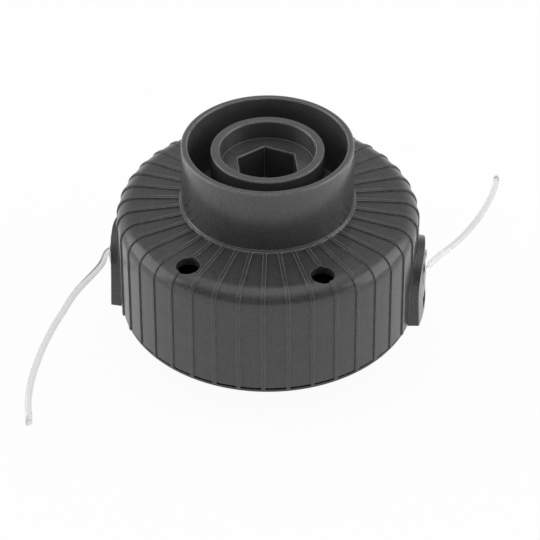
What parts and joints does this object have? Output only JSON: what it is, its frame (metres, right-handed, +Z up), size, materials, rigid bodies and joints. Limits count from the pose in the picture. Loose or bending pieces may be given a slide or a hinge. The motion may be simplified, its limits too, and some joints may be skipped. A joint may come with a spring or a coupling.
{
  "type": "trimmer line spool",
  "caption": "Round ribbed trimmer head that holds wound cutting line, feeds it through side eyelets and lets more out when its sprung knob is bumped.",
  "frame": {"origin": "middle of the flat underside of the bump knob, which the head stands on", "axes": "+Z up along the drive axis towards the machine, +X through the middle of the right eyelet, +Y towards the back"},
  "size_m": [0.1617, 0.1643, 0.08],
  "materials": {
    "shell_plastic": "satin",
    "cover_plastic": "satin",
    "spool_plastic": "satin",
    "knob_plastic": "satin",
    "eyelet_metal": "satin",
    "line_nylon": "semi-gloss, milky",
    "spring_steel": "satin",
    "washer_steel": "satin"
  },
  "bodies": {
    "head": {"housing": "shell_plastic", "eyelet_right": "eyelet_metal", "eyelet_left": "eyelet_metal", "cover": "cover_plastic", "line_right": "line_nylon", "line_left": "line_nylon", "spring": "spring_steel"},
    "carrier": {"thrust_washer": "washer_steel"},
    "reel": {"spool": "spool_plastic", "winding_upper": "line_nylon", "winding_lower": "line_nylon", "knob": "knob_plastic"}
  },
  "joints": [
    {"name": "bump_slide", "type": "slide", "parent": "head", "child": "carrier", "axis": [0, 0, 1], "range_m": [0, 0.006], "stiffness_N_per_m": 2000, "springref_m": -0.008, "deforming": ["spring"]},
    {"name": "spool_turn", "type": "hinge", "parent": "carrier", "child": "reel", "pos_m": [0, 0, 0.03], "axis": [0, 0, 1], "range_deg": [0, 30]}
  ],
  "couplings": [
    {"joint": "spool_turn", "follows": "bump_slide", "rad_per_m": 87.266}
  ]
}
